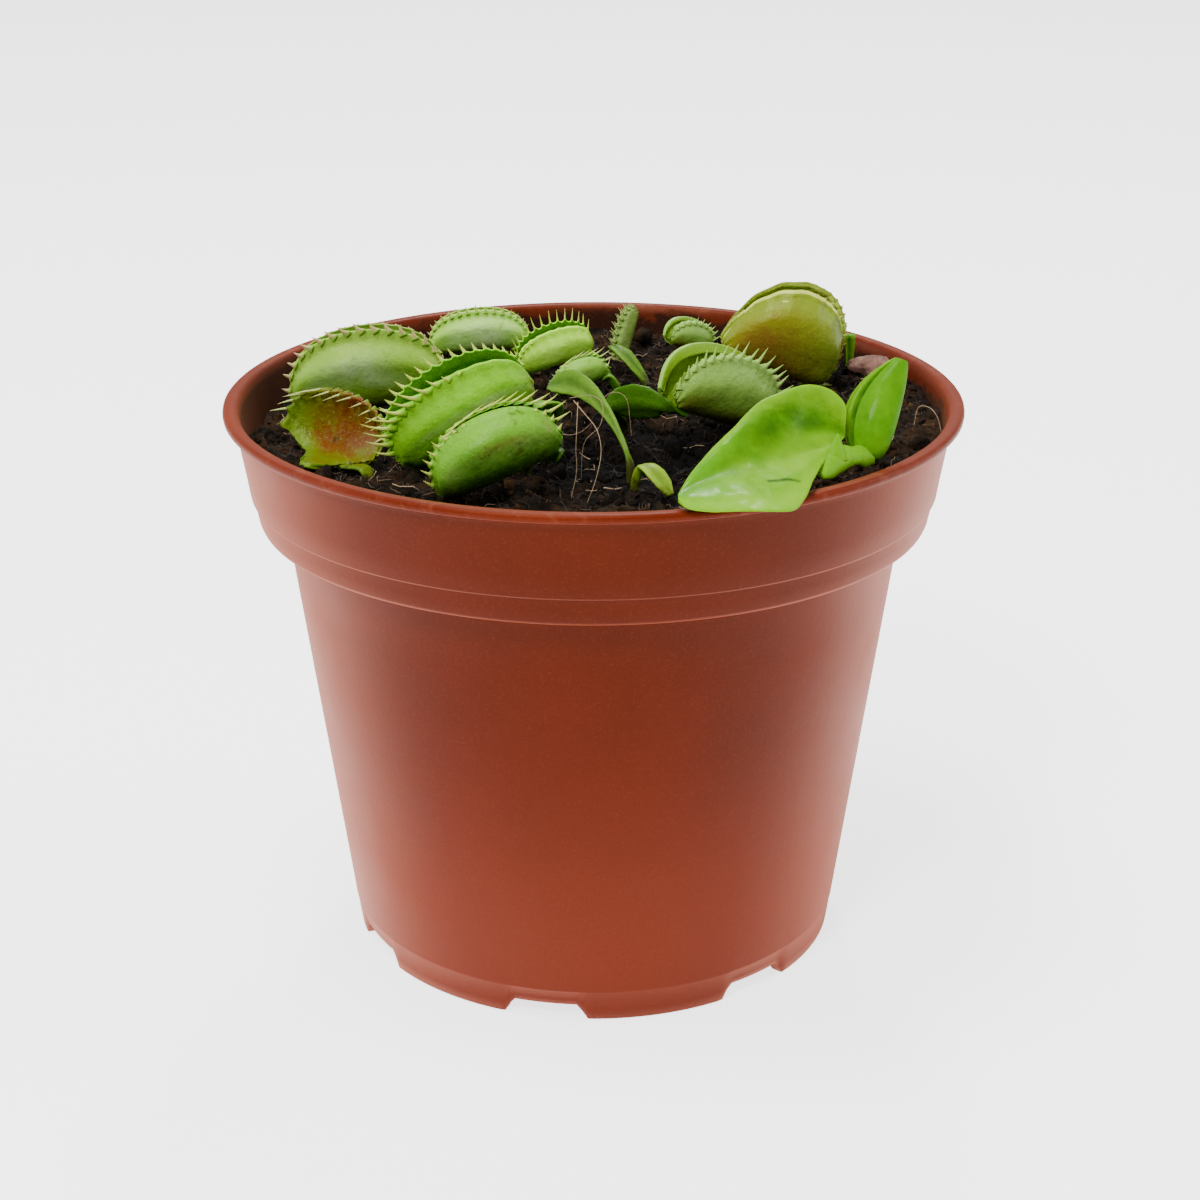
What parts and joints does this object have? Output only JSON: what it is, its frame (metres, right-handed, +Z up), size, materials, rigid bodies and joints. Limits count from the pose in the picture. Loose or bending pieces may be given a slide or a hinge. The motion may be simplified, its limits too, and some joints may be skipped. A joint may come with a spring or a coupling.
{
  "type": "potted venus flytrap",
  "caption": "Round flared nursery pot filled with peat, with toothed snap-trap leaves, young leaves and one large glossy leaf over the rim.",
  "frame": {"origin": "centre of the pot's foot, on the table, below the middle of the rim", "axes": "+Z up along the pot's axis, -Y toward the front of the pot, +X to the right seen from the front"},
  "size_m": [0.09, 0.09, 0.0804],
  "materials": {
    "pot_plastic": "semi-matte terracotta-coloured moulded plastic",
    "peat": "damp dark peat",
    "leaf": "fresh green leaf with a soft sheen",
    "dark_leaf": "dark green leaf with a soft sheen",
    "olive_leaf": "olive and yellow leaf, matte",
    "young_leaf": "pale young leaf",
    "glossy_leaf": "bright yellow-green leaf, glossy",
    "bark": "dry pinkish bark"
  },
  "bodies": {
    "root": {"pot": "pot_plastic", "soil": "peat", "leaf_left_back": "leaf", "leaf_left_front": "olive_leaf", "leaf_back_left": "leaf", "leaf_centre": "leaf", "leaf_front": "dark_leaf", "leaf_back_centre": "leaf", "leaf_small_centre": "leaf", "leaf_right_middle": "leaf", "leaf_tall_right": "olive_leaf", "leaf_back_right": "leaf", "leaf_upright_back": "leaf", "young_leaf_arched": "young_leaf", "young_leaf_back": "young_leaf", "young_leaf_front": "young_leaf", "young_leaf_right": "young_leaf", "leaf_large_right": "glossy_leaf", "bark_chip": "bark"}
  },
  "joints": []
}
